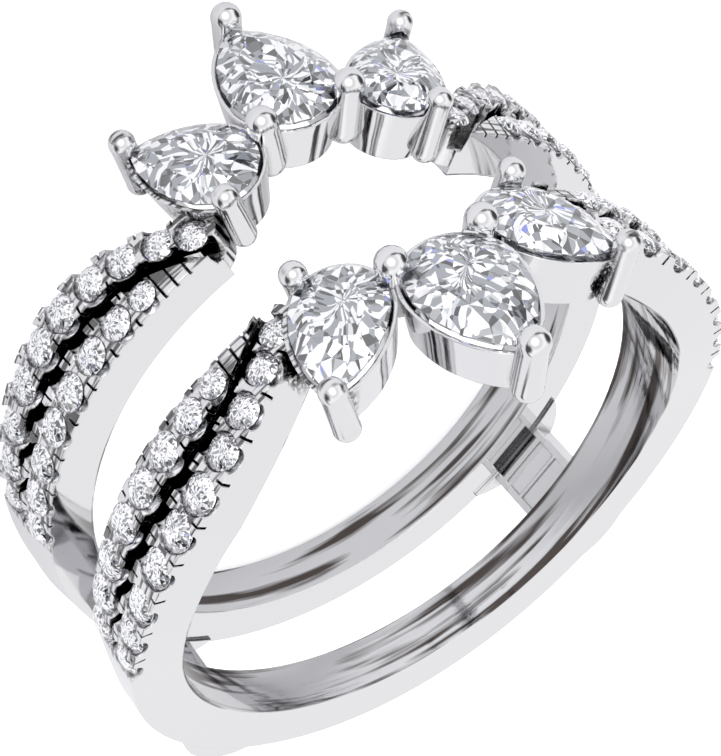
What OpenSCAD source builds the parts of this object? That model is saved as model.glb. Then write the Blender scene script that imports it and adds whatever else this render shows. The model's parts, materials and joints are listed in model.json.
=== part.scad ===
// Ring guard enhancer: two open bands set with small stones, held apart so
// that another ring fits between them, with three pear stones on top of each.
// It is drawn upright (X across, Y along the finger, Z towards the crown) and
// then laid on its side the way it rests on a table. Sizes in millimetres.

/* [Bands] */
// Radius of the finger hole
bore_r = 8.675; // [8.4:0.025:8.9]
// Radial thickness of each band
band_t = 1.625; // [1.5:0.025:1.8]
// Gap between the two bands
band_gap = 2.6; // [2.4:0.1:2.8]
// Width of one band at the foot of the ring
foot_w = 1.7; // [1.6:0.05:1.8]
// Width of one band at the widest part of the shoulder
shoulder_w = 3.06; // [2.96:0.05:3.16]
// How much lower the outside of a band is along the gap
gap_slope = 0.22; // [0.1:0.02:0.3]

/* [Small stones] */
// Largest diameter of the small stones
small_d = 1.18; // [1.1:0.01:1.2]
// Outer row: distance of its middle from the outer face
outer_inset = 0.58; // [0.56:0.01:0.62]
// Inner row: distance of its middle from the gap
inner_inset = 0.66; // [0.62:0.01:0.7]
// Width of the groove between the two rows
groove_w = 0.44; // [0.3:0.02:0.46]
// Depth of the groove between the two rows
groove_h = 0.8; // [0.6:0.05:0.85]
// Radius of the scallops cut under the stones
scallop_r = 0.36; // [0.3:0.01:0.38]
// Depth of the scallops below the claw tops
scallop_h = 0.34; // [0.3:0.01:0.4]
// Width of the slits that split the small claws
slit_w = 0.08; // [0.06:0.01:0.1]
// Height of a small stone's edge below the claw tops
small_sink = 0.15; // [0.12:0.01:0.18]

/* [Crown] */
// Round radius of the middle pear stones
mid_r = 1.6; // [1.5:0.02:1.64]
// Length of the middle pear stones from round centre to tip
mid_tip = 2.8; // [2.7:0.02:2.84]
// Round radius of the side pear stones
side_r = 1.36; // [1.3:0.02:1.4]
// Length of the side pear stones from round centre to tip
side_tip = 2.55; // [2.45:0.02:2.6]
// Reach of the bands' ends in under the side cups
end_tuck = 0.21; // [0.1:0.01:0.28]
// Depth of the cups below the edges of the pear stones
cup_h = 1.8; // [1.7:0.05:1.85]
// Thickness of the cup walls at the rim
cup_wall = 0.13; // [0.11:0.01:0.16]
// How far the cup walls lean in from rim to foot
cup_lean = 0.34; // [0.3:0.02:0.4]
// Radius of the two large claws beside each middle stone
claw_shared_r = 0.47; // [0.44:0.01:0.5]
// Radius of the claws at the tips of the middle stones
claw_tip_r = 0.45; // [0.42:0.01:0.48]
// Radius of the claws of the side stones
claw_side_r = 0.39; // [0.36:0.01:0.42]
// Length of the claws from the domed top to the foot
claw_h = 1.75; // [1.6:0.05:1.8]

/* [Bridges] */
// Angle below the side at which each bridge bar sits
bridge_angle = 45.5; // [44:0.5:47]
// Length of each bridge bar round the ring, in degrees
bridge_span = 13.5; // [12:0.5:15]
// How far the bars lie outside the finger hole
bridge_lift = 1.2; // [1.1:0.05:1.25]
// Angle below the side at which the solder under each bar is thickest
block_angle = 44.5; // [43.5:0.5:45.5]
// Height of the solder outside the bands
block_out = 0.72; // [0.65:0.01:0.75]
// Radius of the curve of the solder
block_r = 2.45; // [2.3:0.05:2.6]

/* [Hidden] */

fine = 96;
wide_fn = 720;
far = 30;
clear = 0.03;

outer_r = bore_r + band_t;
// round middle of the side stones across the ring, half the opening between the ends of a band
side_x = mid_r + side_r + 0.01;
end_half = side_x + side_r - end_tuck;
end_angle = acos(end_half / outer_r);
gap_y = band_gap / 2;
foot_y = gap_y + foot_w;
wide_y = gap_y + shoulder_w;

// side face of a band: two blended arcs from the foot up the shoulder
flat_z = -outer_r;
wide_z = 0.61 * outer_r;
rise = wide_y - foot_y;
rise_run = wide_z - flat_z;
arcs_r = (rise_run * rise_run + rise * rise) / (2 * rise);
low_arc_r = 0.65 * arcs_r;
high_arc_r = arcs_r - low_arc_r;
join_z = flat_z + low_arc_r * rise_run / arcs_r;
side_steps = 27;

// the shoulder is cut back along an arc towards its end
corner_angle = end_angle - 14.4;
corner_r = 0.874 * outer_r;
corner_t = -0.285 * outer_r;
corner_lift = 0.015;

// rows of small stones: distance round the band from its end, share of the largest diameter
outer_row = [[0.22, 0.80], [1.10, 0.80], [2.16, 0.85], [3.27, 0.88], [4.53, 0.98],
             [5.79, 0.99], [7.14, 1], [8.61, 1], [9.94, 1], [11.25, 0.90]];
inner_row = [[2.34, 0.74], [3.42, 0.85], [4.62, 0.93], [5.91, 0.96], [7.19, 0.98],
             [8.57, 1], [9.94, 1], [11.27, 0.93]];
// groove between the rows: distances of its corners from the band's end, downwards
groove_way = [-0.36, 0.29, 0.97, 1.69, 2.5, 3.4, 4.39, 5.47, 6.63, 7.89, 9.15, 10.32, 11.4];
// cross cuts on the narrow end of the inner row
tip_cuts = [0.92, 1.4, 1.85];
// how the inner row and the groove draw nearer to the gap, and how far from the end that starts
inner_pull = 0.014;
inner_from = end_angle - 22.4;
groove_pull = 0.03;
groove_from = end_angle - 12.4;
// where the slits start off the middle of a row, and how near the groove they end
slit_start = 0.36;
slit_end = 0.02;

// round middles of the side stones and of the middle stone, along the finger
crown_y = gap_y + 1.82;
mid_y = crown_y + 1.18;
// claws in the plan of the ring: across, along the finger, above the bands
shared_at = [mid_r - 0.21, crown_y - 0.02, 0.76];
side_at = [side_x + 0.45, crown_y - 1.46, 0.23];
corner_at = [side_x + side_r + 0.22, crown_y + 2.13, -0.06];
tip_at = [0, mid_y + mid_tip + 0.16, 0.82];
girdle_drop = 0.33;
rim_drop = 0.13;

// middle stones lie level, side stones lean outwards with the curve
mid_pos = [0, mid_y, outer_r + tip_at[2] - girdle_drop];
side_lean = 14.6;
side_turn = 52.3 - 90;
side_pos = [side_x, crown_y, outer_r + 0.35 - girdle_drop];

// bridge bars: wide bar, two shallow panels and a deeper strip along each band
bridge_wide = (bore_r + bridge_lift) * bridge_span * PI / 180;
bridge_thick = 0.9;
panel_wide = bridge_wide - 0.5;
panel_strip = 0.72;
panel_y = 0.43;
panel_h = 0.06;
edge_strip = 0.36;
edge_h = 0.3;
block_y = foot_y - 0.3;

// at rest the ring stands on the foot of the back middle claw and the back band's rim
tip_lean = 4;
foot_tip_y = tip_at[1] - claw_h * sin(tip_lean);
foot_tip_z = outer_r + tip_at[2] - claw_h * cos(tip_lean);
rest_tilt = atan((foot_tip_y - foot_y) / (foot_tip_z + outer_r))
          + asin(claw_tip_r / norm([foot_tip_y - foot_y, foot_tip_z + outer_r]));
row_low = foot_tip_z * sin(rest_tilt) - foot_tip_y * cos(rest_tilt) - claw_tip_r;
row_near = -outer_r * cos(rest_tilt) - foot_y * sin(rest_tilt);
row_far = (outer_r + tip_at[2]) * cos(rest_tilt) + tip_at[1] * sin(rest_tilt) + claw_tip_r;

metal_colour = [0.86, 0.86, 0.87];
stone_colour = [0.9, 0.94, 1, 0.6];

function low_arc(z) = foot_y + low_arc_r - sqrt(low_arc_r * low_arc_r - pow(z - flat_z, 2));
function high_arc(z) = wide_y - high_arc_r + sqrt(high_arc_r * high_arc_r - pow(z - wide_z, 2));
function side_y(z) = z < join_z ? low_arc(z) : high_arc(z);
function corner_y(t) = t < corner_t ? wide_y
    : wide_y + corner_lift - corner_r + sqrt(corner_r * corner_r - pow(t - corner_t, 2));
function face_y(a, r) = min(side_y(r * sin(a)), corner_y(r * sin(a - corner_angle)));

function outer_y(a) = face_y(a, outer_r) - outer_inset;
function inner_y(a) = gap_y + inner_inset - max(0, a - inner_from) * inner_pull;
function groove_y(a) = (outer_y(a) + inner_y(a)) / 2 - max(0, a - groove_from) * groove_pull;
function groove_part(a) = groove_w * min(1, max(0.3, a / 24));
function arc_len(a, b) = (a - b) * outer_r * PI / 180;
function way_angle(way) = end_angle - way / outer_r * 180 / PI;

// a place on a band: angle above the side, radius, distance along the finger
module at(a, r, y, turn = 0) {
    translate([r * cos(a), y, r * sin(a)])
        rotate([0, 90 - a, 0])
        rotate([0, 0, turn])
        children();
}

module along_finger(y0, y1) {
    translate([0, y1, 0])
        rotate([90, 0, 0])
        linear_extrude(height = y1 - y0)
        children();
}

// full ring of one band before it is shaped, lower along the gap
module band_ring() {
    rotate([-90, 0, 0])
        rotate_extrude($fn = 4 * fine)
        polygon([[bore_r, gap_y], [outer_r - gap_slope, gap_y], [outer_r, foot_y - 0.5],
                 [outer_r, wide_y + 0.1], [bore_r, wide_y + 0.1]]);
}

// side face profile seen from the left or right, drawn with Z as X
module side_profile() {
    step = 2 * (outer_r + 0.5) / side_steps;
    polygon(concat([[outer_r + 0.5, 0], [-outer_r - 0.5, 0]],
        [for (i = [0:side_steps]) let (z = i * step - outer_r - 0.5) [z, side_y(z)]]));
}

module side_taper() {
    rotate([0, -90, 0])
        linear_extrude(height = 2 * outer_r + 2, center = true)
        side_profile();
}

// what the arc at the end of a shoulder takes away
module corner_cut() {
    at(corner_angle, 0, 0)
        translate([0, 0, bore_r / 2])
        linear_extrude(height = outer_r)
        difference() {
            translate([-0.75 * outer_r, gap_y / 2])
                square([0.75 * outer_r - corner_t, wide_y + 0.5]);
            translate([-corner_t, wide_y + corner_lift - corner_r])
                circle(corner_r, $fn = wide_fn);
        }
}

// wedge that opens the band between its two ends
module end_wedge() {
    along_finger(0, wide_y + 1)
        polygon([[0, 0], [far * cos(end_angle), far * sin(end_angle)],
                 [-far * cos(end_angle), far * sin(end_angle)]]);
}

// rounded end of the outer row, round its first stone
module end_post() {
    first = way_angle(outer_row[0][0]);
    at(first, bore_r + 0.25, outer_y(first) + 0.02)
        cylinder(h = band_t - 0.19, r = outer_inset + 0.18, $fn = fine);
}

module small_seat(a, y, d) {
    at(a, outer_r - small_sink, y) {
        cylinder(h = 1, r = d / 2 + clear, $fn = fine / 2);
        translate([0, 0, -0.55 * d])
            cylinder(h = 0.55 * d, r1 = 0.1, r2 = d / 2 + clear, $fn = fine / 2);
    }
}

// scallop across a row, reaching back to the groove side and forward past the face
module scallop(a, y, turn, back, front) {
    at(a, outer_r - scallop_h + scallop_r, y, turn)
        translate([0, front, 0])
        rotate([90, 0, 0])
        cylinder(h = back + front, r = scallop_r, $fn = fine / 2);
}

// short cut across a row, from distance b0 to b1 off its middle
module slit(a, y, turn, b0, b1) {
    at(a, outer_r - scallop_h, y, turn)
        translate([-slit_w / 2, b0, 0])
        cube([slit_w, b1 - b0, 1]);
}

function row_turn(a, b, ya, yb) = atan2(yb - ya, arc_len(a, b));
function groove_turn(a) = row_turn(a + 2, a - 2, groove_y(a + 2), groove_y(a - 2));

module outer_row_cuts() {
    last = len(outer_row) - 1;
    for (i = [0:last]) {
        a = way_angle(outer_row[i][0]);
        up = way_angle(outer_row[max(0, i - 1)][0]);
        down = way_angle(outer_row[min(last, i + 1)][0]);
        turn = row_turn(up, down, outer_y(up), outer_y(down));
        small_seat(a, outer_y(a), small_d * outer_row[i][1]);
        if (i > 0)
            scallop(a, outer_y(a), turn, (outer_y(a) - groove_y(a)) * cos(turn) - slit_end,
                    outer_inset + 0.1);
    }
    for (i = [0:last - 1]) {
        a = way_angle(outer_row[i][0]);
        b = way_angle(outer_row[i + 1][0]);
        y = (outer_y(a) + outer_y(b)) / 2;
        turn = row_turn(a, b, outer_y(a), outer_y(b));
        slit((a + b) / 2, y, turn, slit_start, outer_inset + 0.16);
        slit((a + b) / 2, y, turn, -(y - groove_y((a + b) / 2)) * cos(turn) + slit_end, -slit_start);
    }
}

module inner_row_cuts() {
    last = len(inner_row) - 1;
    for (i = [0:last]) {
        a = way_angle(inner_row[i][0]);
        small_seat(a, inner_y(a), small_d * inner_row[i][1]);
        scallop(a, inner_y(a), 0, inner_inset + 0.1,
                groove_y(a) - inner_y(a) - slit_end - scallop_r * tan(abs(groove_turn(a))));
    }
    for (i = [0:last - 1]) {
        a = way_angle(inner_row[i][0]);
        b = way_angle(inner_row[i + 1][0]);
        y = (inner_y(a) + inner_y(b)) / 2;
        turn = row_turn(a, b, inner_y(a), inner_y(b));
        slit((a + b) / 2, y, turn, slit_start, groove_y((a + b) / 2) - y - slit_end);
        slit((a + b) / 2, y, turn, -inner_inset - 0.12, -slit_start);
    }
    for (way = tip_cuts)
        slit(way_angle(way), gap_y, 0, -0.1, groove_y(way_angle(way)) - gap_y);
}

module groove() {
    for (i = [0:len(groove_way) - 2]) {
        a = way_angle(groove_way[i]);
        b = way_angle(groove_way[i + 1]);
        w = groove_part((a + b) / 2) / 2;
        run = norm([arc_len(a, b), groove_y(b) - groove_y(a)]);
        at((a + b) / 2, outer_r, (groove_y(a) + groove_y(b)) / 2,
           row_turn(a, b, groove_y(a), groove_y(b)))
            rotate([90, 0, 90])
            linear_extrude(height = run + 0.06, center = true)
            polygon([[-w, 0.2], [w, 0.2], [w, -0.4], [0.8 * w, -groove_h],
                     [-0.8 * w, -groove_h], [-w, -0.4]]);
    }
}

module shoulder_cuts() {
    outer_row_cuts();
    inner_row_cuts();
    groove();
}

// one band, on the far side of the gap
module band() {
    difference() {
        union() {
            difference() {
                intersection() {
                    band_ring();
                    side_taper();
                }
                corner_cut();
                mirror([1, 0, 0]) corner_cut();
                end_wedge();
            }
            end_post();
            mirror([1, 0, 0]) end_post();
        }
        shoulder_cuts();
        mirror([1, 0, 0]) shoulder_cuts();
    }
}

// bar that joins the bands under one side: solder outside, panelled inside
module bridge() {
    in_r = bore_r + bridge_lift;
    difference() {
        union() {
            for (s = [-1, 1])
                at(-block_angle, outer_r + block_out - block_r, s * (block_y + gap_y) / 2)
                    rotate([90, 0, 0])
                    cylinder(h = block_y - gap_y + 0.2, r = block_r, center = true, $fn = 2 * fine);
            at(-bridge_angle, in_r + bridge_thick / 2, 0)
                cube([bridge_wide, 2 * gap_y + 0.3, bridge_thick], center = true);
        }
        along_finger(-foot_y, foot_y)
            circle(in_r, $fn = 4 * fine);
        for (s = [-1, 1])
            at(-bridge_angle, in_r, s * panel_y)
                cube([panel_wide, panel_strip, 2 * panel_h], center = true);
        for (s = [-1, 1])
            at(-bridge_angle, in_r, s * (gap_y - edge_strip / 2 + 0.05))
                cube([panel_wide, edge_strip, 2 * edge_h], center = true);
    }
}

// pear outline grown or shrunk by g, flat or as a taper from g0 up to g1
module pear_taper(r, tip, h, g0, g1) {
    big = (tip * tip + r * r) / (2 * r);
    intersection() {
        cylinder(h = h, r1 = r + g0, r2 = r + g1, $fn = fine);
        translate([-far / 2, -far, 0])
            cube([far, far, h]);
    }
    intersection() {
        translate([big - r, 0, 0])
            cylinder(h = h, r1 = big + g0, r2 = big + g1, $fn = 2 * fine);
        translate([r - big, 0, 0])
            cylinder(h = h, r1 = big + g0, r2 = big + g1, $fn = 2 * fine);
        translate([-far / 2, 0, 0])
            cube([far, far, h]);
    }
}

module cup(r, tip) {
    translate([0, 0, -cup_h])
        pear_taper(r, tip, cup_h - rim_drop, cup_wall - cup_lean, cup_wall);
}

// room for a stone: crown, edge and the tapering hollow under it
module pear_room(r, tip) {
    translate([0, 0, 0.05])
        pear_taper(r, tip, 0.55, clear, clear - 0.6);
    translate([0, 0, -0.1])
        pear_taper(r, tip, 0.151, clear, clear);
    translate([0, 0, -0.4])
        pear_taper(r, tip, 0.301, -0.1, clear);
    translate([0, 0, -cup_h - 0.05])
        pear_taper(r, tip, cup_h - 0.349, -0.8, -0.1);
}

module claw(at_pos, r, h, lean_x, lean_y = 0) {
    translate([at_pos[0], at_pos[1], outer_r + at_pos[2]])
        rotate([lean_y, lean_x, 0]) {
            sphere(r, $fn = fine / 2);
            translate([0, 0, -h])
                cylinder(h = h, r = r * 0.96, $fn = fine / 2);
            translate([0, 0, -h])
                sphere(r, $fn = fine / 2);
        }
}

module in_mid() {
    translate(mid_pos) children();
}

module in_side() {
    translate(side_pos)
        rotate([0, side_lean, 0])
        rotate([0, 0, side_turn])
        children();
}

// three cups and seven claws over one band
module crown_metal() {
    in_mid() cup(mid_r, mid_tip);
    claw(tip_at, claw_tip_r, claw_h, 0, -tip_lean);
    for (s = [0, 1])
        mirror([s, 0, 0]) {
            in_side() cup(side_r, side_tip);
            claw(shared_at, claw_shared_r, claw_h - 0.25, 7.5);
            claw(side_at, claw_side_r, claw_h - 0.1, side_lean + 2);
            claw(corner_at, claw_side_r, claw_h - 0.05, side_lean - 1);
        }
}

module crown_rooms() {
    in_mid() pear_room(mid_r, mid_tip);
    for (s = [0, 1])
        mirror([s, 0, 0])
            in_side() pear_room(side_r, side_tip);
}

module upright_metal() {
    for (s = [0, 1])
        mirror([0, s, 0])
        difference() {
            union() {
                band();
                crown_metal();
            }
            crown_rooms();
        }
    bridge();
    mirror([1, 0, 0]) bridge();
}

// lays the upright ring on its side in its resting place
module rest() {
    translate([0, -(row_near + row_far) / 2, -row_low])
        rotate([rest_tilt, 0, 0])
        rotate([-90, 0, 0])
        children();
}

// round stone: eight-sided table and edge, pointed underneath
module small_stone(d) {
    top = [for (i = [0:7]) [0.29 * d * cos(45 * i), 0.29 * d * sin(45 * i), 0.16 * d]];
    edge = [for (i = [0:7]) [0.5 * d * cos(45 * i + 22.5), 0.5 * d * sin(45 * i + 22.5), 0.01 * d]];
    rim = [for (p = edge) [p[0], p[1], -0.02 * d]];
    polyhedron(points = concat(top, edge, rim, [[0, 0, -0.42 * d]]),
        faces = concat([[for (i = [7:-1:0]) i]],
            [for (i = [0:7]) [i, (i + 1) % 8, 8 + i]],
            [for (i = [0:7]) [8 + i, (i + 1) % 8, 8 + (i + 1) % 8]],
            [for (i = [0:7]) [8 + i, 8 + (i + 1) % 8, 16 + (i + 1) % 8, 16 + i]],
            [for (i = [0:7]) [16 + i, 16 + (i + 1) % 8, 24]]), convexity = 2);
}

module pave() {
    for (s = [0, 1])
        mirror([s, 0, 0]) {
            for (p = outer_row)
                at(way_angle(p[0]), outer_r - small_sink, outer_y(way_angle(p[0])))
                    small_stone(small_d * p[1] - 0.02);
            for (p = inner_row)
                at(way_angle(p[0]), outer_r - small_sink, inner_y(way_angle(p[0])))
                    small_stone(small_d * p[1] - 0.02);
        }
}

// pear outline point i of 16, from the tip round the stone, shrunk to share k
function pear_big(r, tip) = (tip * tip + r * r) / (2 * r);
function pear_half(r, tip, i) = i <= 4
    ? let (b = pear_big(r, tip), f = asin(tip / b) * (4 - i) / 4) [r - b + b * cos(f), b * sin(f)]
    : [r * cos(22.5 * (i - 4)), -r * sin(22.5 * (i - 4))];
function pear_point(r, tip, i) = i <= 8 ? pear_half(r, tip, i)
    : let (p = pear_half(r, tip, 16 - i)) [-p[0], p[1]];
function pear_at(r, tip, i, k, z) = let (p = pear_point(r, tip, i), c = 0.2 * tip)
    [k * p[0], c + k * (p[1] - c), z];

// pear stone: table, star and kite facets, thin edge, pavilion to a point
module pear_stone(r, tip) {
    table = [for (i = [0:2:14]) pear_at(r, tip, i, 0.58, 0.28 * r)];
    kite = [for (i = [1:2:15]) pear_at(r, tip, i, 0.80, 0.16 * r)];
    edge = [for (i = [0:15]) pear_at(r, tip, i, 0.985, 0.02 * r)];
    rim = [for (i = [0:15]) pear_at(r, tip, i, 0.985, -0.02 * r)];
    belly = [for (i = [1:2:15]) pear_at(r, tip, i, 0.36, -0.55 * r)];
    keel = [[0, 0.2 * tip, -0.8 * r]];
    polyhedron(points = concat(table, kite, edge, rim, belly, keel),
        faces = concat([[for (i = [0:7]) i]],
            [for (i = [0:7]) [(i + 1) % 8, i, 8 + i]],
            [for (i = [0:7]) [i, 8 + (i + 7) % 8, 16 + 2 * i]],
            [for (i = [0:7]) [i, 16 + 2 * i, 8 + i]],
            [for (i = [0:7]) [8 + i, 16 + 2 * i, 17 + 2 * i]],
            [for (i = [0:7]) [8 + i, 17 + 2 * i, 16 + (2 * i + 2) % 16]],
            [for (i = [0:15]) [16 + (i + 1) % 16, 16 + i, 32 + i]],
            [for (i = [0:15]) [16 + (i + 1) % 16, 32 + i, 32 + (i + 1) % 16]],
            [for (i = [0:7]) [32 + 2 * i, 48 + i, 33 + 2 * i]],
            [for (i = [0:7]) [33 + 2 * i, 48 + i, 32 + (2 * i + 2) % 16]],
            [for (i = [0:7]) [32 + 2 * i, 48 + (i + 7) % 8, 56]],
            [for (i = [0:7]) [48 + i, 32 + 2 * i, 56]]), convexity = 2);
}

module metal_frame() {
    color(metal_colour) rest() upright_metal();
}

module pave_back() {
    color(stone_colour) rest() pave();
}

module pave_front() {
    color(stone_colour) rest() mirror([0, 1, 0]) pave();
}

module pear_mid_back() {
    color(stone_colour) rest() in_mid() pear_stone(mid_r, mid_tip);
}

module pear_mid_front() {
    color(stone_colour) rest() mirror([0, 1, 0]) in_mid() pear_stone(mid_r, mid_tip);
}

module pear_right_back() {
    color(stone_colour) rest() in_side() pear_stone(side_r, side_tip);
}

module pear_left_back() {
    color(stone_colour) rest() mirror([1, 0, 0]) in_side() pear_stone(side_r, side_tip);
}

module pear_right_front() {
    color(stone_colour) rest() mirror([0, 1, 0]) in_side() pear_stone(side_r, side_tip);
}

module pear_left_front() {
    color(stone_colour) rest() mirror([1, 0, 0]) mirror([0, 1, 0]) in_side() pear_stone(side_r, side_tip);
}

metal_frame();
pave_front();
pave_back();
pear_mid_front();
pear_mid_back();
pear_left_front();
pear_right_front();
pear_left_back();
pear_right_back();
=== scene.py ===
# %% [markdown]
# # A ring guard in polished white gold, set with round and pear stones
# The ring's metal, its stones and their places come from the measured model.
# This lesson dresses that model: it cuts finer stones for the same seats, gives
# the metal a polisher's finish with painted shade and painted reflection, draws
# painted reflections on the stones' facets, and sets up a small white
# photographer's table.

# %% Load the measured model
import json
import math
import bmesh
import bpy
from mathutils import Matrix, Vector


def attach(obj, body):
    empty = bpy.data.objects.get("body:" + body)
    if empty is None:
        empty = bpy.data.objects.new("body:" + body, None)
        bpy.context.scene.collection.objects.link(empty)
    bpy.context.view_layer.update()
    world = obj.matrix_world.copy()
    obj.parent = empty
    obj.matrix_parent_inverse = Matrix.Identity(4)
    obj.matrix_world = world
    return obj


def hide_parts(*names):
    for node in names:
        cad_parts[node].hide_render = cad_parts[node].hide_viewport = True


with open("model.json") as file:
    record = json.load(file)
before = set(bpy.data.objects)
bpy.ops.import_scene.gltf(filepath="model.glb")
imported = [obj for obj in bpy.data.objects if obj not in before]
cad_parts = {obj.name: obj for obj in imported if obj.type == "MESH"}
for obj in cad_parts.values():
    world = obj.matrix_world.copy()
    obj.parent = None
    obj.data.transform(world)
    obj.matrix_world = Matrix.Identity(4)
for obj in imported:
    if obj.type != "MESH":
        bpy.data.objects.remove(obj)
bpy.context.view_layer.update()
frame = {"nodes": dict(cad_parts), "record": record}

MM = 0.001
print("pieces in the model:", sorted(frame["nodes"]))

# %% [markdown]
# ## Where the ring's own axes are
# The ring lies on its side, so its finger hole leans a little from the upright.
# The model's record says where the hole is and which way it points. Three axes
# follow from it: across the ring, along the finger and up to the crown.

# %% The ring's axes
bore = frame["record"]["mounts"][0]
ring_centre = Vector(bore["pos_m"])
finger_axis = Vector(bore["axis"]).normalized()
across = Vector((1, 0, 0))
crown_axis = finger_axis.cross(across)


def in_room(right, front, up):
    """A direction given across the ring, towards its front and up to its crown."""
    return across * right + finger_axis * front + crown_axis * up


print("finger hole leans", round(math.degrees(finger_axis.angle(Vector((0, 0, 1)))), 1), "degrees")

# %% [markdown]
# ## Helpers for materials
# A colour picker gives sRGB values, and the renderer works with linear light, so
# one function turns a hex value into the numbers that a shader wants. Another
# one adds any node, sets its inputs and joins it to the nodes before it.

# %% Colours and nodes
def linear(hex_colour):
    """An sRGB hex value as linear red, green, blue and alpha."""
    parts = [int(hex_colour[i:i + 2], 16) / 255 for i in (1, 3, 5)]
    return [c / 12.92 if c < 0.04045 else ((c + 0.055) / 1.055) ** 2.4 for c in parts] + [1.0]


def add(material, kind, settings=(), **inputs):
    """Adds a node: settings are its own properties, inputs are values or other nodes' outputs.
    An input goes by its name, or by its number with an i before it where names repeat."""
    node = material.node_tree.nodes.new(kind)
    for name, value in dict(settings).items():
        setattr(node, name, value)
    for name, value in inputs.items():
        by_number = name[0] == "i" and name[1:].isdigit()
        socket = node.inputs[int(name[1:]) if by_number else name.replace("_", " ")]
        if isinstance(value, bpy.types.NodeSocket):
            material.node_tree.links.new(value, socket)
        else:
            socket.default_value = value
    return node


def new_material(name):
    """An empty material with its output node."""
    material = bpy.data.materials.new(name)
    material.use_nodes = True
    material.node_tree.nodes.clear()
    return material, material.node_tree.nodes.new("ShaderNodeOutputMaterial")


print("mid grey #808080 in linear light:", round(linear("#808080")[0], 3))

# %% [markdown]
# ## Polished white gold
# White gold is cast, filed, polished on felt wheels and plated with a skin of
# rhodium. That makes a cool, very bright mirror. Rhodium returns about three
# quarters of the light, so faces that mirror each other get darker each time.
# The wheel leaves faint swirls that only show as a slight softening.

# %% White gold
RHODIUM = linear("#e1e1e3")
SWIRL_MM = 0.5
SWIRL_FROM, SWIRL_FULL = 0.3, 0.7
FINEST_POLISH, SOFTEST_POLISH = 0.03, 0.07
gold, gold_out = new_material("white_gold_rhodium_polished")
spot = add(gold, "ShaderNodeTexCoord").outputs["Object"]
swirl = add(gold, "ShaderNodeTexNoise", Vector=spot, Scale=1 / (SWIRL_MM * MM), Detail=3.0)
soft = add(gold, "ShaderNodeMapRange", Value=swirl.outputs["Fac"], From_Min=SWIRL_FROM,
           From_Max=SWIRL_FULL, To_Min=FINEST_POLISH, To_Max=SOFTEST_POLISH)
print("swirls of", SWIRL_MM, "mm, roughness", FINEST_POLISH, "to", SOFTEST_POLISH)

# %% [markdown]
# ## Places on the ring
# Some places of the ring get their own finish or painted shade. The shader
# tells them apart by where a spot is: how far across the ring, how far up to
# the crown, and how far out from the finger's line. Each place fades in over a
# short way, so no hard line shows.

# %% Finger hole and shoulders
BORE_MM = bore["dims"]["r_mm"]
BORE_SKIN_MM = 0.02
ACROSS_FROM_MM, ACROSS_FULL_MM = 3.6, 3.8
UP_FROM_MM, UP_FULL_MM = -0.3, 0.1
# the same place seen in the ring's own axes, with the finger's line as Z, in millimetres
from_centre = add(gold, "ShaderNodeVectorMath", {"operation": "SUBTRACT"}, i0=spot, i1=ring_centre)
upright = add(gold, "ShaderNodeMapping", Vector=from_centre.outputs[0],
              Rotation=(math.asin(finger_axis.y), 0, 0), Scale=(1 / MM, 1 / MM, 1 / MM))
parts = add(gold, "ShaderNodeSeparateXYZ", Vector=upright.outputs[0])
flat = add(gold, "ShaderNodeCombineXYZ", X=parts.outputs["X"], Y=parts.outputs["Y"])
reach_out = add(gold, "ShaderNodeVectorMath", {"operation": "LENGTH"}, i0=flat.outputs[0])
in_bore = add(gold, "ShaderNodeMapRange", Value=reach_out.outputs["Value"],
              From_Min=BORE_MM + 3 * BORE_SKIN_MM, From_Max=BORE_MM + BORE_SKIN_MM)
off_middle = add(gold, "ShaderNodeMath", {"operation": "ABSOLUTE"}, i0=parts.outputs["X"])
on_shoulder = add(gold, "ShaderNodeMapRange", Value=off_middle.outputs[0],
                  From_Min=ACROSS_FROM_MM, From_Max=ACROSS_FULL_MM)
above_middle = add(gold, "ShaderNodeMapRange", Value=parts.outputs["Y"],
                   From_Min=UP_FROM_MM, From_Max=UP_FULL_MM)
shoulder = add(gold, "ShaderNodeMath", {"operation": "MULTIPLY"}, i0=above_middle.outputs["Result"],
               i1=on_shoulder.outputs["Result"])
print("the shoulders lie more than", ACROSS_FROM_MM, "mm from the middle")

# %% Rows of tiny claws
BAND_MM = 1.625
OUTSIDE_MM = BORE_MM + BAND_MM
ROWS_FROM_MM, ROWS_FULL_MM = 0.0, 0.15
CLAW_FROM_MM, CLAW_FULL_MM = 0.35, 0.25
by_stones = add(gold, "ShaderNodeMapRange", Value=parts.outputs["Y"],
                From_Min=ROWS_FROM_MM, From_Max=ROWS_FULL_MM)
claw_zone = add(gold, "ShaderNodeMath", {"operation": "MULTIPLY"}, i0=by_stones.outputs["Result"],
                i1=shoulder.outputs[0])
near_top = add(gold, "ShaderNodeMapRange", Value=reach_out.outputs["Value"],
               From_Min=OUTSIDE_MM - CLAW_FROM_MM, From_Max=OUTSIDE_MM - CLAW_FULL_MM)
on_claws = add(gold, "ShaderNodeMath", {"operation": "MULTIPLY"}, i0=near_top.outputs["Result"],
               i1=claw_zone.outputs[0])
print("the claws' tops lie", round(OUTSIDE_MM, 2), "mm from the finger's line")
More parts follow.
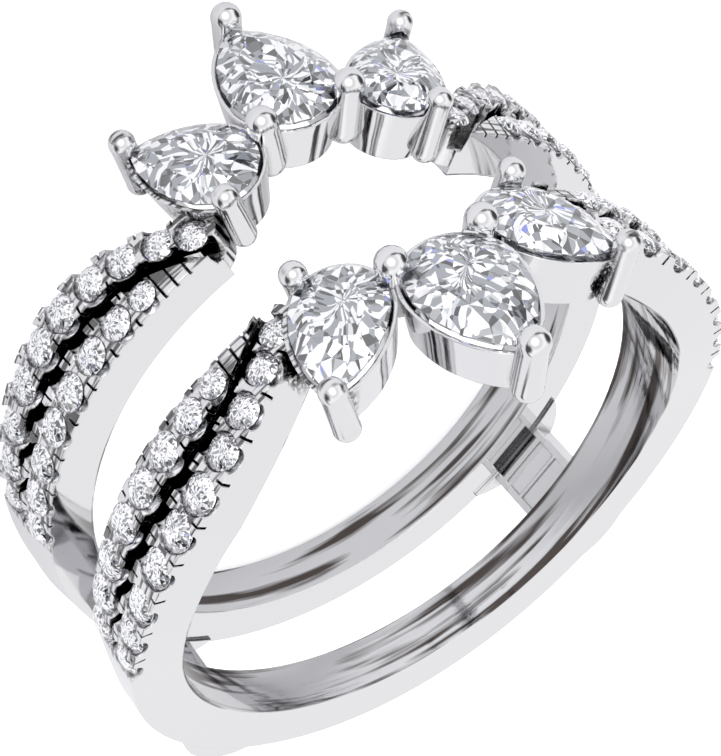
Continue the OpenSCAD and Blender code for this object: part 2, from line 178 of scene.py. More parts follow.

# %% [markdown]
# ## Marks and painted reflection inside the finger hole
# A felt cone polishes the hole. It leaves fine marks that run round it, drawn as a
# slight relief. The real marks are a few microns apart, so they are drawn wide
# enough to show. The dark brownish streaks round the hole are painted reflection:
# broad and fine streaks in the metal's colour stand in for the dark things that
# the hole mirrors.

# %% Felt cone marks and painted reflection streaks
# painted reflection in the hole: a dark brownish grey mixed into the metal's colour in streaks
PAINTED_BORE_REFLECTION = linear("#57504e")
CONE_MARK_MM, CONE_MARK_RUN_MM, CONE_MARK_DEEP_MM = 0.12, 5.0, 0.02
REFLECTION_STREAK_WIDE_MM, REFLECTION_STREAK_RUN_MM = 0.55, 6.0
STREAK_FROM, STREAK_FULL = 0.49, 0.57
MARK_SHARE = 0.4
MARK_STRENGTH = 0.35
mark_way = add(gold, "ShaderNodeMapping", Vector=upright.outputs[0],
               Scale=(1 / CONE_MARK_RUN_MM, 1 / CONE_MARK_RUN_MM, 1 / CONE_MARK_MM))
marks = add(gold, "ShaderNodeTexNoise", Vector=mark_way.outputs[0], Scale=0.5, Detail=3.0)
reflection_streak_way = add(gold, "ShaderNodeMapping", Vector=upright.outputs[0],
                Scale=(1 / REFLECTION_STREAK_RUN_MM, 1 / REFLECTION_STREAK_RUN_MM, 1 / REFLECTION_STREAK_WIDE_MM))
reflection_streaks = add(gold, "ShaderNodeTexNoise", Vector=reflection_streak_way.outputs[0], Scale=1.0, Detail=2.0)
mixed = add(gold, "ShaderNodeMix", i0=MARK_SHARE, i2=reflection_streaks.outputs["Fac"], i3=marks.outputs["Fac"])
painted_streaks = add(gold, "ShaderNodeMapRange", Value=mixed.outputs[0],
              From_Min=STREAK_FROM, From_Max=STREAK_FULL)
in_painted_streak = add(gold, "ShaderNodeMath", {"operation": "MULTIPLY"}, i0=painted_streaks.outputs["Result"],
                i1=in_bore.outputs["Result"])
# the streaks paint the reflection into the metal's colour; the relief below is a real bump
bore_with_painted_reflection = add(gold, "ShaderNodeMix", {"data_type": "RGBA"}, i0=in_painted_streak.outputs[0], i6=RHODIUM,
            i7=PAINTED_BORE_REFLECTION)
mark_depth = add(gold, "ShaderNodeMath", {"operation": "MULTIPLY"}, i0=marks.outputs["Fac"],
                 i1=in_bore.outputs["Result"])
relief = add(gold, "ShaderNodeBump", Strength=MARK_STRENGTH, Distance=CONE_MARK_DEEP_MM * MM,
             Height=mark_depth.outputs[0])
print("cone marks", CONE_MARK_MM, "mm wide, sweeps", REFLECTION_STREAK_WIDE_MM, "mm wide")

# %% [markdown]
# ## Painted shade in slits, grooves and creases
# The slits and the deep groove between the rows of stones lie in shade, and that
# shade is painted black into the metal's colour. Such a cut lies below the band's
# outside and has little open room round it, which ambient occlusion measures.
# Where two surfaces meet, ambient occlusion also paints a thin dark line of shade
# into the crease.

# %% Painted shade in slits and creases
# painted shade: where ambient occlusion finds little room, the slits, the groove and the creases are
# painted dark
RECESS_MM = 0.6
CUT_FROM_MM, CUT_FULL_MM = 0.14, 0.26
NARROW_FROM, NARROW_FULL = 0.66, 0.5
CREASE_FROM, CREASE_FULL, CREASE_SHADE_DARK = 0.6, 0.45, 0.6
room = add(gold, "ShaderNodeAmbientOcclusion", {"samples": 4, "only_local": True}, Distance=RECESS_MM * MM)
below = add(gold, "ShaderNodeMapRange", Value=reach_out.outputs["Value"],
            From_Min=OUTSIDE_MM - CUT_FROM_MM, From_Max=OUTSIDE_MM - CUT_FULL_MM)
narrow = add(gold, "ShaderNodeMapRange", Value=room.outputs["AO"],
             From_Min=NARROW_FROM, From_Max=NARROW_FULL)
deep = add(gold, "ShaderNodeMath", {"operation": "MULTIPLY"}, i0=below.outputs["Result"],
           i1=narrow.outputs["Result"])
shaded_cut = add(gold, "ShaderNodeMath", {"operation": "MULTIPLY"}, i0=deep.outputs[0], i1=shoulder.outputs[0])
crease_shade = add(gold, "ShaderNodeMapRange", Value=room.outputs["AO"],
             From_Min=CREASE_FROM, From_Max=CREASE_FULL, To_Max=CREASE_SHADE_DARK)
painted_shade = add(gold, "ShaderNodeMath", {"operation": "MAXIMUM"}, i0=shaded_cut.outputs[0],
                 i1=crease_shade.outputs["Result"])
print("a cut counts as deep", CUT_FROM_MM, "to", CUT_FULL_MM, "mm below the outside")

# %% [markdown]
# ## Painted shade on the claws and in the seats of the small stones
# The tops of the tiny claws get grey stripes of painted shade along the rows, which
# stand in for the shading across each claw. The seat beside each small stone is a
# hollow, and its shade is painted dark grey with fine bright lines in it. A claw's
# top is where the metal faces straight out from the finger hole.

# %% Painted shade stripes on the claws' tops
# painted shade: grey stripes on the claws' tops stand in for the shading across each claw
CLAW_TOP_SHADE_GREY = linear("#6a6869")
SHADE_STRIPE_MM, SHADE_STRIPE_RUN_MM = 0.13, 1.6
STRIPE_FROM, STRIPE_FULL = 0.45, 0.56
TOP_FROM, TOP_FULL = 0.75, 0.9
along = add(gold, "ShaderNodeVectorMath", {"operation": "PROJECT"}, i0=from_centre.outputs[0],
            i1=finger_axis)
outward = add(gold, "ShaderNodeVectorMath", {"operation": "SUBTRACT"}, i0=from_centre.outputs[0],
              i1=along.outputs[0])
outward_way = add(gold, "ShaderNodeVectorMath", {"operation": "NORMALIZE"}, i0=outward.outputs[0])
facing_out = add(gold, "ShaderNodeVectorMath", {"operation": "DOT_PRODUCT"}, i0=outward_way.outputs[0],
                 i1=add(gold, "ShaderNodeNewGeometry").outputs["True Normal"])
claw_top = add(gold, "ShaderNodeMapRange", Value=facing_out.outputs["Value"],
               From_Min=TOP_FROM, From_Max=TOP_FULL)
shade_stripe_way = add(gold, "ShaderNodeMapping", Vector=upright.outputs[0],
                 Scale=(1 / SHADE_STRIPE_RUN_MM, 1 / SHADE_STRIPE_RUN_MM, 1 / SHADE_STRIPE_MM))
top_shade = add(gold, "ShaderNodeTexNoise", Vector=shade_stripe_way.outputs[0], Scale=1.0, Detail=1.0)
stripe = add(gold, "ShaderNodeMapRange", Value=top_shade.outputs["Fac"],
             From_Min=STRIPE_FROM, From_Max=STRIPE_FULL)
on_top = add(gold, "ShaderNodeMath", {"operation": "MULTIPLY"}, i0=claw_top.outputs["Result"],
             i1=on_claws.outputs[0])
painted_top_shade = add(gold, "ShaderNodeMath", {"operation": "MULTIPLY"}, i0=stripe.outputs["Result"],
                 i1=on_top.outputs[0])
with_top_shade = add(gold, "ShaderNodeMix", {"data_type": "RGBA"}, i0=painted_top_shade.outputs[0],
             i6=bore_with_painted_reflection.outputs[2], i7=CLAW_TOP_SHADE_GREY)
print("graver stripes", SHADE_STRIPE_MM, "mm wide")

# %% Painted shade in the seats
# painted shade: the hollow beside each small stone, found by ambient occlusion, is painted dark grey,
# broken by fine bright lines
SEAT_SHADE_GREY = linear("#403e3f")
SEAT_LINE_MM = 0.12
SEAT_LINE_FROM, SEAT_LINE_FULL = 0.56, 0.48
HOLLOW_FROM, HOLLOW_FULL = 0.93, 0.8
hollow = add(gold, "ShaderNodeMapRange", Value=room.outputs["AO"],
             From_Min=HOLLOW_FROM, From_Max=HOLLOW_FULL)
not_top = add(gold, "ShaderNodeMapRange", Value=facing_out.outputs["Value"],
              From_Min=TOP_FULL, From_Max=TOP_FROM)
seat = add(gold, "ShaderNodeMath", {"operation": "MULTIPLY"}, i0=hollow.outputs["Result"],
           i1=not_top.outputs["Result"])
seat_zone = add(gold, "ShaderNodeMath", {"operation": "MULTIPLY"}, i0=seat.outputs[0],
                i1=claw_zone.outputs[0])
shade_line = add(gold, "ShaderNodeTexNoise", Vector=upright.outputs[0], Scale=1 / SEAT_LINE_MM, Detail=1.0)
seat_shade_lines = add(gold, "ShaderNodeMapRange", Value=shade_line.outputs["Fac"],
               From_Min=SEAT_LINE_FROM, From_Max=SEAT_LINE_FULL)
painted_seat_shade = add(gold, "ShaderNodeMath", {"operation": "MULTIPLY"}, i0=seat_zone.outputs[0],
              i1=seat_shade_lines.outputs["Result"])
with_seat_shade = add(gold, "ShaderNodeMix", {"data_type": "RGBA"}, i0=painted_seat_shade.outputs[0],
             i6=with_top_shade.outputs[2], i7=SEAT_SHADE_GREY)
print("bur lines", SEAT_LINE_MM, "mm apart")

# %% [markdown]
# ## Rounded edges and the whole finish
# The wheel rounds every true edge a little, and the tiny claws the most. A bevel
# in the shader lets the edges catch the light, and no point of the mesh moves.
# The painted black shade of the slits, grooves and creases lies over all other
# colours. A mirror needs no more than its colour, a low roughness and these edges.

# %% Finished metal
# the black of the painted shade in slits, grooves and creases
PAINTED_SHADE_BLACK = linear("#070708")
EDGE_MM, CLAW_EDGE_MM = 0.06, 0.1
edge_reach = add(gold, "ShaderNodeMapRange", Value=on_claws.outputs[0],
                 To_Min=EDGE_MM * MM, To_Max=CLAW_EDGE_MM * MM)
edge = add(gold, "ShaderNodeBevel", {"samples": 4}, Radius=edge_reach.outputs["Result"],
           Normal=relief.outputs["Normal"])
# the painted shade lies over all other colours of the metal
tone = add(gold, "ShaderNodeMix", {"data_type": "RGBA"}, i0=painted_shade.outputs[0],
           i6=with_seat_shade.outputs[2], i7=PAINTED_SHADE_BLACK)
gold_shader = add(gold, "ShaderNodeBsdfPrincipled", Metallic=1.0, Base_Color=tone.outputs[2],
                  Roughness=soft.outputs["Result"], Normal=edge.outputs["Normal"])
gold.node_tree.links.new(gold_shader.outputs[0], gold_out.inputs[0])
print("nodes in the metal's material:", len(gold.node_tree.nodes))

# %% [markdown]
# ## The ring's metal
# The measured metal is made of many small flat triangles, and a mirror shows
# every one of them. Here the same triangles are welded at their corners and
# shaded as smooth curves, and only true edges stay sharp. No point moves.

# %% Metal
SHARP_DEGREES = 18
WELD_MM = 0.0003
metal_mesh = frame["nodes"]["metal_frame"].data.copy()
metal_mesh.name = "metal_polished"
weld = bmesh.new()
weld.from_mesh(metal_mesh)
bmesh.ops.remove_doubles(weld, verts=weld.verts, dist=WELD_MM * MM)
for face in weld.faces:
    face.smooth = True
for joint in weld.edges:
    joint.smooth = joint.calc_face_angle(math.pi) < math.radians(SHARP_DEGREES)
weld.to_mesh(metal_mesh)
sharp = sum(not joint.smooth for joint in weld.edges)
weld.free()
if "custom_normal" in metal_mesh.attributes:
    metal_mesh.attributes.remove(metal_mesh.attributes["custom_normal"])
metal_mesh.materials.clear()
metal_mesh.materials.append(gold)
metal = bpy.data.objects.new("metal_polished", metal_mesh)
bpy.context.collection.objects.link(metal)
even = metal.modifiers.new("even shading", "WEIGHTED_NORMAL")
even.keep_sharp = True
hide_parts("metal_frame")
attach(metal, "root")
print("metal faces:", len(metal_mesh.polygons), "sharp edges:", sharp)

# %% [markdown]
# ## Cut stones
# A cut stone is clear and colourless. Its high refractive index turns light back
# inside it, so each facet shows another piece of the room: white, grey or black.
# A little of the light splits into colours, which gives the small blue flashes.
# To follow each ray through the stones takes very long, so each facet and each
# sliver of one is drawn as a small mirror that is turned its own way, under a
# clear coat with the stone's own refractive index. The mirror's colour is painted
# reflection: white, grey, black or a blue flash, given to each facet at random.
# A faint glow of the same colour is painted light for the light that comes back
# from inside.

# %% Star and slivers
PLAN = "cut_plan"
DRIFT_MM = 1.0
STAR_BEND = 0.22
SLIVER_TURN, SLIVER_SHAPE = (0.3, 0.2, 0.6), (1.0, 0.4, 1.0)


def star_and_slivers(stone, spokes, rings, sliver_mm):
    """A colour of its own for each inner facet, in spokes and rings, cut again by slivers."""
    spot = add(stone, "ShaderNodeTexCoord").outputs["Object"]
    plan = add(stone, "ShaderNodeUVMap", {"uv_map": PLAN}).outputs["UV"]
    # each real stone is cut a little unevenly, so its star is bent
    drift = add(stone, "ShaderNodeTexNoise", Vector=spot, Scale=1 / (DRIFT_MM * MM), Detail=0.0)
    bent = add(stone, "ShaderNodeVectorMath", {"operation": "MULTIPLY_ADD"}, i0=drift.outputs["Color"],
               i1=(2 * STAR_BEND, 2 * STAR_BEND, 0), i2=plan)
    centred = add(stone, "ShaderNodeVectorMath", {"operation": "SUBTRACT"}, i0=bent.outputs[0],
                  i1=(STAR_BEND, STAR_BEND, 0))
    place = add(stone, "ShaderNodeSeparateXYZ", Vector=centred.outputs[0])
    angle = add(stone, "ShaderNodeMath", {"operation": "ARCTAN2"}, i0=place.outputs["Y"],
                i1=place.outputs["X"])
    spoke = add(stone, "ShaderNodeMath", {"operation": "MULTIPLY"}, i0=angle.outputs[0],
                i1=spokes / math.tau)
    away = add(stone, "ShaderNodeVectorMath", {"operation": "LENGTH"}, i0=centred.outputs[0])
    ring = add(stone, "ShaderNodeMath", {"operation": "MULTIPLY"}, i0=away.outputs["Value"], i1=rings)
    star = add(stone, "ShaderNodeCombineXYZ", X=spoke.outputs[0], Y=ring.outputs[0])
    kites = add(stone, "ShaderNodeTexVoronoi", {"voronoi_dimensions": "2D"}, Vector=star.outputs[0],
                Scale=1.0)
    long_way = add(stone, "ShaderNodeMapping", Vector=spot, Rotation=SLIVER_TURN, Scale=SLIVER_SHAPE)
    slivers = add(stone, "ShaderNodeTexVoronoi", Vector=long_way.outputs[0], Scale=1 / (sliver_mm * MM))
    both = add(stone, "ShaderNodeVectorMath", {"operation": "ADD"}, i0=kites.outputs["Color"],
               i1=slivers.outputs["Color"])
    return both.outputs[0]


# %% Clear stone
# painted reflection: each facet gets one of these colours at random, and the same colour glows faintly as
# painted light
WHITE_PAINTED_REFLECTION = linear("#f4f4f8")
GREY_PAINTED_REFLECTION = linear("#8f939b")
BLUE_PAINTED_REFLECTION = linear("#8490d8")
DARK_PAINTED_REFLECTION = linear("#2b2d33")
DARK_SHARE = 0.19
DIAMOND_IOR = 2.417
FACET_ROUGHNESS = 0.02
FACET_TURN = 0.85
PAINTED_INNER_LIGHT = 0.12
# spreads the ways that the facets face, so that no two facets draw the same lot
FACE_SPREAD = 3.1


def cut_stone(name, spokes, rings, sliver_mm, white_share, blue_share):
    """A stone's material; the shares say how much of it flashes white or blue."""
    stone, out = new_material(name)
    facing = add(stone, "ShaderNodeNewGeometry").outputs["True Normal"]
    each = add(stone, "ShaderNodeVectorMath", {"operation": "MULTIPLY_ADD"}, i0=facing,
               i1=(FACE_SPREAD, FACE_SPREAD, FACE_SPREAD),
               i2=star_and_slivers(stone, spokes, rings, sliver_mm))
    lot = add(stone, "ShaderNodeTexWhiteNoise", Vector=each.outputs[0])
    either_way = add(stone, "ShaderNodeVectorMath", {"operation": "SUBTRACT"}, i0=lot.outputs["Color"],
                     i1=(0.5, 0.5, 0.5))
    turned = add(stone, "ShaderNodeVectorMath", {"operation": "MULTIPLY_ADD"}, i0=either_way.outputs[0],
                 i1=(FACET_TURN, FACET_TURN, FACET_TURN), i2=facing)
    normal = add(stone, "ShaderNodeVectorMath", {"operation": "NORMALIZE"}, i0=turned.outputs[0])
    painted_reflections = add(stone, "ShaderNodeValToRGB", Fac=lot.outputs["Value"])
    ramp = painted_reflections.color_ramp
    ramp.interpolation = "CONSTANT"
    ramp.elements[0].color = WHITE_PAINTED_REFLECTION
    ramp.elements[1].position = 1 - DARK_SHARE
    ramp.elements[1].color = DARK_PAINTED_REFLECTION
    ramp.elements.new(white_share).color = GREY_PAINTED_REFLECTION
    ramp.elements.new(1 - DARK_SHARE - blue_share).color = BLUE_PAINTED_REFLECTION
    shader = add(stone, "ShaderNodeBsdfPrincipled", Metallic=1.0, Base_Color=painted_reflections.outputs["Color"],
                 Roughness=FACET_ROUGHNESS, Coat_Weight=1.0, Coat_Roughness=0.0, Coat_IOR=DIAMOND_IOR,
                 Normal=normal.outputs[0], Emission_Color=painted_reflections.outputs["Color"],
                 Emission_Strength=PAINTED_INNER_LIGHT)
    stone.node_tree.links.new(shader.outputs[0], out.inputs[0])
    return stone


small_glass = cut_stone("diamond_round_cut", spokes=26, rings=4.4, sliver_mm=0.13,
                        white_share=0.64, blue_share=0.005)
pear_glass = cut_stone("diamond_pear_cut", spokes=40, rings=3.4, sliver_mm=0.34,
                       white_share=0.4, blue_share=0.016)
print("stones in", small_glass.name, "and", pear_glass.name)

# %% [markdown]
# ## The facets of a brilliant
# Both shapes share one plan. Eight main facets run from the table to the girdle,
# with star facets along the table and pairs of small facets at the girdle. The
# underside has eight mains down to the point with pairs of small facets between.
# Only the outline differs: a circle, or a half circle drawn out to a tip.

# %% Brilliant cut
MAINS = 8
STAR_SHARE = 0.52
STAR_FALL, STAR_LOW = 0.96, 0.98
POINT_SHARE, POINT_RISE = 0.24, 0.93


def brilliant(outline, centre, crown, table, depth_below, girdle):
    """Points and faces of a brilliant: outline(i) gives 16 girdle points, heights are in its units."""
    def inward(i, share, z):
        p = outline(i % (2 * MAINS))
        return Vector((centre[0] + share * (p[0] - centre[0]), centre[1] + share * (p[1] - centre[1]), z))

    star = table + STAR_SHARE * (1 - table)
    star_z = crown * (1 - star * STAR_FALL) / (1 - table) * STAR_LOW
    point_z = -depth_below * (1 - POINT_SHARE * POINT_RISE)
    pts = [inward(2 * i, table, crown) for i in range(MAINS)]
    pts += [inward(2 * i + 1, star, star_z) for i in range(MAINS)]
    pts += [inward(i, 1, girdle / 2) for i in range(2 * MAINS)]
    pts += [inward(i, 1, -girdle / 2) for i in range(2 * MAINS)]
    pts += [inward(2 * i + 1, POINT_SHARE, point_z) for i in range(MAINS)]
    pts.append(Vector((centre[0], centre[1], -depth_below)))
    # where the table's, stars', upper and lower girdle's and underside's points start in the list
    t, s, g, h, w = 0, MAINS, 2 * MAINS, 4 * MAINS, 6 * MAINS
    point = len(pts) - 1
    faces = [[t + i for i in range(MAINS)]]
    for i in range(MAINS):
        j, back = (i + 1) % MAINS, (i - 1) % MAINS
        a, b, c = 2 * i, 2 * i + 1, (2 * i + 2) % (2 * MAINS)
        faces += [[t + i, s + i, t + j], [t + i, s + back, g + a], [t + i, g + a, s + i],
                  [s + i, g + a, g + b], [s + i, g + b, g + c]]
        faces += [[g + a, h + a, h + b, g + b], [g + b, h + b, h + c, g + c]]
        faces += [[h + a, w + i, h + b], [h + b, w + i, h + c],
                  [h + a, w + back, point], [h + a, point, w + i]]
    return pts, faces


print("points round a brilliant's girdle:", 2 * MAINS)

# %% Outlines of the two cuts
QUARTER = MAINS // 2


def circle_outline(i):
    """One of sixteen points on a circle of radius 1."""
    turn = math.tau * i / (2 * MAINS)
    return math.sin(turn), math.cos(turn)


def pear_outline(r, tip):
    """Sixteen points from the tip round a pear of round radius r and tip length tip."""
    big = (tip * tip + r * r) / (2 * r)

    def point(i):
        side, k = (1, i) if i <= MAINS else (-1, 2 * MAINS - i)
        if k <= QUARTER:
            turn = math.asin(tip / big) * (QUARTER - k) / QUARTER
            return side * (r - big + big * math.cos(turn)), big * math.sin(turn)
        turn = math.pi / 2 * (k - QUARTER) / QUARTER
        return side * r * math.cos(turn), -r * math.sin(turn)

    return point


print("a pear's tip is at", [round(c, 2) for c in pear_outline(1, 1.5)(0)])

# %% [markdown]
# ## From the measured stones to cut ones
# The model's stones have few facets, but the right place, width and height. So
# each one is read for those, and a full cut takes its place. All stones of a row
# become one mesh, with a flat plan that the star of the material follows.

# %% Reading the model's stones
SAME_POINT_M = 1e-7


def loose_solids(obj):
    """The corner points of each loose solid of a node, in metres and in the mesh's own order."""
    mesh = bmesh.new()
    mesh.from_mesh(obj.data)
    bmesh.ops.remove_doubles(mesh, verts=mesh.verts, dist=SAME_POINT_M)
    taken = set()
    for first in mesh.verts:
        if first in taken:
            continue
        taken.add(first)
        group, queue = [], [first]
        while queue:
            v = queue.pop()
            group.append(v.co.copy())
            for e in v.link_edges:
                w = e.other_vert(v)
                if w not in taken:
                    taken.add(w)
                    queue.append(w)
        yield group
    mesh.free()


def table_and_point(points):
    """The way a small stone's table faces, straight out from the finger hole, and its lowest point."""
    out = sum(points, Vector()) / len(points) - ring_centre
    up = (out - finger_axis * out.dot(finger_axis)).normalized()
    return up, min(points, key=lambda p: p.dot(up))


print("loose stones in pave_front:", len(list(loose_solids(frame["nodes"]["pave_front"]))))

# %% Making cut stones
def stone_mesh(name, stones, material):
    """One mesh of stones; each is (points, faces, matrix)."""
    mesh = bpy.data.meshes.new(name)
    verts, faces, flat = [], [], []
    for pts, polys, place in stones:
        n = len(verts)
        unit = max(p.length for p in pts)
        verts += [place @ p for p in pts]
        flat += [(p.x / unit, p.y / unit) for p in pts]
        faces += [[n + k for k in f] for f in polys]
    mesh.from_pydata(verts, [], faces)
    plan = mesh.uv_layers.new(name=PLAN)
    for corner in mesh.loops:
        plan.data[corner.index].uv = flat[corner.vertex_index]
    fix = bmesh.new()
    fix.from_mesh(mesh)
    bmesh.ops.recalc_face_normals(fix, faces=fix.faces)
    fix.to_mesh(mesh)
    fix.free()
    mesh.materials.append(material)
    obj = bpy.data.objects.new(name, mesh)
    bpy.context.collection.objects.link(obj)
    return obj


def stand(origin, up, ahead):
    """A matrix that puts a stone at origin, its table facing up and its tip ahead."""
    side = ahead.cross(up).normalized()
    ahead = up.cross(side)
    turn = Matrix((side, ahead, up)).transposed().to_4x4()
    return Matrix.Translation(origin) @ turn


print("the facets' plan is kept in", PLAN)

# %% [markdown]
# ## Round stones on the shoulders
# Each little stone of the measured model is read for its middle, its table and
# its width, and a full brilliant of the same width takes its seat.

# %% Round stones
# the table's width and the girdle's thickness, as shares of the stone's width and half width
ROUND_TABLE = 0.56
ROUND_GIRDLE = 0.03
# the points this far out, as a share of the widest, belong to the girdle
RIM_SHARE = 0.9
for node_name in ("pave_front", "pave_back"):
    stones = []
    widths = []
    for points in loose_solids(frame["nodes"][node_name]):
        up, point = table_and_point(points)
        ring = [p for p in points if p is not point]
        out = [(p - point) - up * (p - point).dot(up) for p in ring]
        radius = max(o.length for o in out)
        rim = [p for p, o in zip(ring, out) if o.length > RIM_SHARE * radius]
        level = sum((p - point).dot(up) for p in rim) / len(rim)
        top = max((p - point).dot(up) for p in ring) - level
        pts, faces = brilliant(circle_outline, (0, 0), top / radius, ROUND_TABLE, level / radius,
                               ROUND_GIRDLE)
        place = stand(point + up * level, up, finger_axis)
        stones.append(([p * radius for p in pts], faces, place))
        widths.append(2 * radius / MM)
    cut = stone_mesh(node_name + "_cut", stones, small_glass)
    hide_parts(node_name)
    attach(cut, "root")
    print(node_name, "stones:", len(stones), "widths in mm:",
          round(min(widths), 2), "to", round(max(widths), 2))

# %% [markdown]
# ## Pear stones
# A pear is half a round stone drawn out to a tip. It keeps the round stone's
# plan of facets, stretched with its outline.

# %% Pear stones
PEAR_TABLE = 0.58
PEAR_GIRDLE = 0.04
# the points this far out, as a share of the tip's distance, belong to the tip
TIP_SHARE = 0.97
for node_name in [n for n in sorted(frame["nodes"]) if n.startswith("pear")]:
    points = next(loose_solids(frame["nodes"][node_name]))
    table_face = max(frame["nodes"][node_name].data.polygons, key=lambda face: face.area)
    up = table_face.normal.normalized()
    keel = min(points, key=lambda p: p.dot(up))
    flat = [(p - keel) - up * (p - keel).dot(up) for p in points]
    tip_out = max(flat, key=lambda o: o.length)
    ahead = tip_out.normalized()
    side = ahead.cross(up)
    half = max(abs(o.dot(side)) for o in flat)
    length_ahead = tip_out.length
    length_back = -min(o.dot(ahead) for o in flat)
    tip_points = [p for p, o in zip(points, flat) if o.length > TIP_SHARE * length_ahead]
    level = sum((p - keel).dot(up) for p in tip_points) / len(tip_points)
    top = max(p.dot(up) for p in points) - keel.dot(up) - level
    tip = length_ahead + length_back - half
    centre_y = length_back - half
    pts, faces = brilliant(pear_outline(half, tip), (0, centre_y), top, PEAR_TABLE, level,
                           PEAR_GIRDLE * half)
    place = stand(keel + up * level - ahead * centre_y, up, ahead)
    cut = stone_mesh(node_name + "_cut", [(pts, faces, place)], pear_glass)
    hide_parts(node_name)
    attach(cut, "root")
    print(node_name, "width and length in mm:", round(2 * half / MM, 2), round((tip + half) / MM, 2))

# %% [markdown]
# ## The table
# Jewellery is photographed on a sheet of matt paper. The sheet glows a little to
# the camera, as if lit from below, so the ring's soft shadow stays faint. The
# ring's mirrors see a plain sheet without the glow.

# %% Paper sheet
PAPER_WHITE = linear("#fcfcfc")
PAPER_GLOW = 0.62
PAPER_IN_MIRRORS = linear("#f8f8fa")
PAPER_ROUGHNESS = 0.9
FIBRE_MM, FIBRE_DEEP_MM, FIBRE_STRENGTH = 0.4, 0.01, 0.03
SHEET_RADIUS_M, SHEET_SIDES = 0.6, 64
paper, paper_out = new_material("matt_paper_sheet")
paper_spot = add(paper, "ShaderNodeTexCoord").outputs["Object"]
fibre = add(paper, "ShaderNodeTexNoise", Vector=paper_spot, Scale=1 / (FIBRE_MM * MM))
paper_bump = add(paper, "ShaderNodeBump", Strength=FIBRE_STRENGTH, Distance=FIBRE_DEEP_MM * MM,
                 Height=fibre.outputs["Fac"])
glowing = add(paper, "ShaderNodeBsdfPrincipled", Base_Color=PAPER_WHITE, Roughness=PAPER_ROUGHNESS,
              Normal=paper_bump.outputs["Normal"], Emission_Color=PAPER_WHITE,
              Emission_Strength=PAPER_GLOW)
plain = add(paper, "ShaderNodeBsdfPrincipled", Base_Color=PAPER_IN_MIRRORS, Roughness=PAPER_ROUGHNESS)
looked_at = add(paper, "ShaderNodeLightPath").outputs["Is Camera Ray"]
sheet = add(paper, "ShaderNodeMixShader", i0=looked_at, i1=plain.outputs[0], i2=glowing.outputs[0])
paper.node_tree.links.new(sheet.outputs[0], paper_out.inputs[0])
floor_mesh = bpy.data.meshes.new("floor")
turns = [math.tau * i / SHEET_SIDES for i in range(SHEET_SIDES)]
sheet_rim = [Vector((math.cos(turn), math.sin(turn), 0)) * SHEET_RADIUS_M for turn in turns]
floor_mesh.from_pydata(sheet_rim, [], [list(range(SHEET_SIDES))])
floor_mesh.materials.append(paper)
floor = bpy.data.objects.new("floor", floor_mesh)
bpy.context.collection.objects.link(floor)
print("paper sheet", 2 * SHEET_RADIUS_M, "m across")

# %% [markdown]
# ## The light
# The ring stands in a white tent with soft lamps. A mirror needs something dark
# to reflect before it reads as metal, so the tent has a few dark flags and a
# dark strip all round, just above the table, which draws the thin dark lines
# along the claws and cups. The camera itself sees pure white behind the ring.

# %% White tent with black flags and soft lamps
TENT_WHITE = 1.0
TENT_STRENGTH = 1.2
STRIP_HEIGHT = 0.1
STRIP_GREY = 0.1
STRIP_FADE = 0.6
SOFT_DEGREES = 9
# each patch of the tent: way across, towards the front and up the crown, its half angle, its brightness
PATCHES = [
    (-0.356, 0.54, 0.763, 46, 0.78),
    (0.356, 0.54, -0.763, 50, 0.86),
    (0.9, 0.2, 0.15, 24, 0.06),
    (-0.95, 0.25, -0.1, 24, 0.08),
    (0.35, -0.25, 0.9, 13, 0.1),
    (-0.35, 0.5, 0.8, 20, 2.0),
]
tent = bpy.data.worlds.new("white_tent")
tent.use_nodes = True
tent.node_tree.nodes.clear()
sky_out = tent.node_tree.nodes.new("ShaderNodeOutputWorld")
direction = add(tent, "ShaderNodeTexCoord").outputs["Generated"]
height = add(tent, "ShaderNodeSeparateXYZ", Vector=direction).outputs["Z"]
over_strip = add(tent, "ShaderNodeMath", {"operation": "SUBTRACT"}, i0=height, i1=STRIP_HEIGHT)
off_strip = add(tent, "ShaderNodeMath", {"operation": "ABSOLUTE"}, i0=over_strip.outputs[0])
strip = add(tent, "ShaderNodeMapRange", {"interpolation_type": "SMOOTHSTEP"}, Value=off_strip.outputs[0],
            From_Min=STRIP_HEIGHT, From_Max=STRIP_FADE * STRIP_HEIGHT)
light = add(tent, "ShaderNodeMix", i0=strip.outputs["Result"], i2=TENT_WHITE, i3=STRIP_GREY).outputs[0]
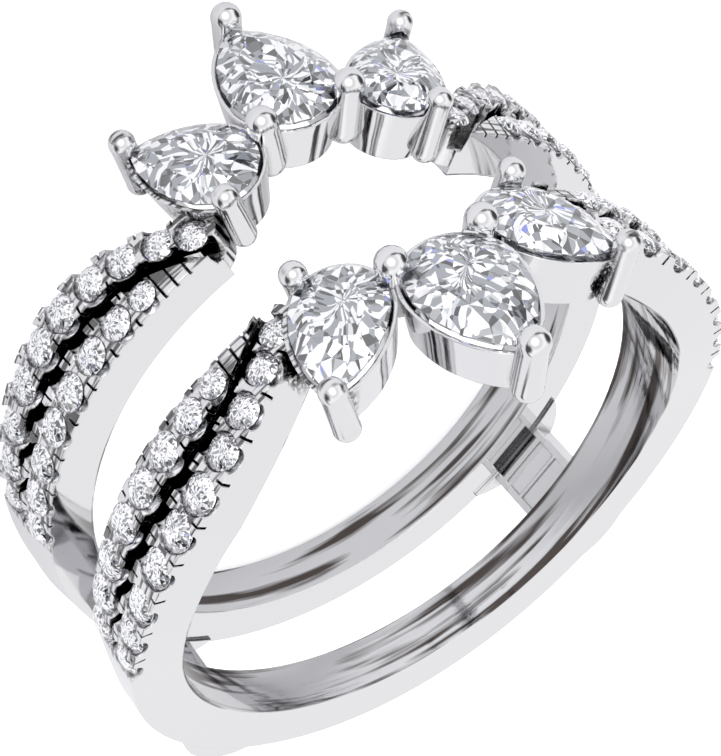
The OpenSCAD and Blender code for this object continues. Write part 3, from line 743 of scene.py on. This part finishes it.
for right, front, up, half_angle, brightness in PATCHES:
    way = in_room(right, front, up).normalized()
    toward = add(tent, "ShaderNodeVectorMath", {"operation": "DOT_PRODUCT"}, i0=direction, i1=way)
    inner, outer = (math.cos(math.radians(half_angle + d)) for d in (-SOFT_DEGREES, SOFT_DEGREES))
    inside = add(tent, "ShaderNodeMapRange", {"interpolation_type": "SMOOTHSTEP"},
                 Value=toward.outputs["Value"], From_Min=outer, From_Max=inner)
    light = add(tent, "ShaderNodeMix", i0=inside.outputs["Result"], i2=light, i3=brightness).outputs[0]
tent_light = add(tent, "ShaderNodeBackground", Color=light, Strength=TENT_STRENGTH)
backdrop = add(tent, "ShaderNodeBackground", Color=linear("#ffffff"), Strength=1.0)
seen = add(tent, "ShaderNodeLightPath").outputs["Is Camera Ray"]
sky = add(tent, "ShaderNodeMixShader", i0=seen, i1=tent_light.outputs[0], i2=backdrop.outputs[0])
tent.node_tree.links.new(sky.outputs[0], sky_out.inputs[0])
bpy.context.scene.world = tent
print("patches in the tent:", len(PATCHES))

# %% [markdown]
# ## The camera
# The camera looks at the ring from the same side as the photograph does. Its
# place is given from the middle of the finger hole, in the ring's own axes.

# %% Camera
VIEW = in_room(-0.3561, 0.5396, 0.7629).normalized()
CAMERA_MM = 62.84
SHIFT_RIGHT_MM, SHIFT_UP_MM = -0.226, 1.705
LENS_MM, SENSOR_MM = 98.94, 36
NEAR_M, FAR_M = 0.001, 10
view_right = (-VIEW).cross(crown_axis).normalized()
view_up = view_right.cross(-VIEW)
camera_data = bpy.data.cameras.new("camera")
camera_data.lens = LENS_MM
camera_data.sensor_width = SENSOR_MM
camera_data.clip_start, camera_data.clip_end = NEAR_M, FAR_M
camera = bpy.data.objects.new("camera", camera_data)
spot_mm = VIEW * CAMERA_MM + view_right * SHIFT_RIGHT_MM + view_up * SHIFT_UP_MM
turn = Matrix((view_right, view_up, VIEW)).transposed().to_4x4()
camera.matrix_world = Matrix.Translation(ring_centre + spot_mm * MM) @ turn
bpy.context.collection.objects.link(camera)
bpy.context.scene.camera = camera
bpy.context.scene.view_settings.view_transform = "Standard"
print("camera stands", round(camera.location.z / MM, 1), "mm above the floor")
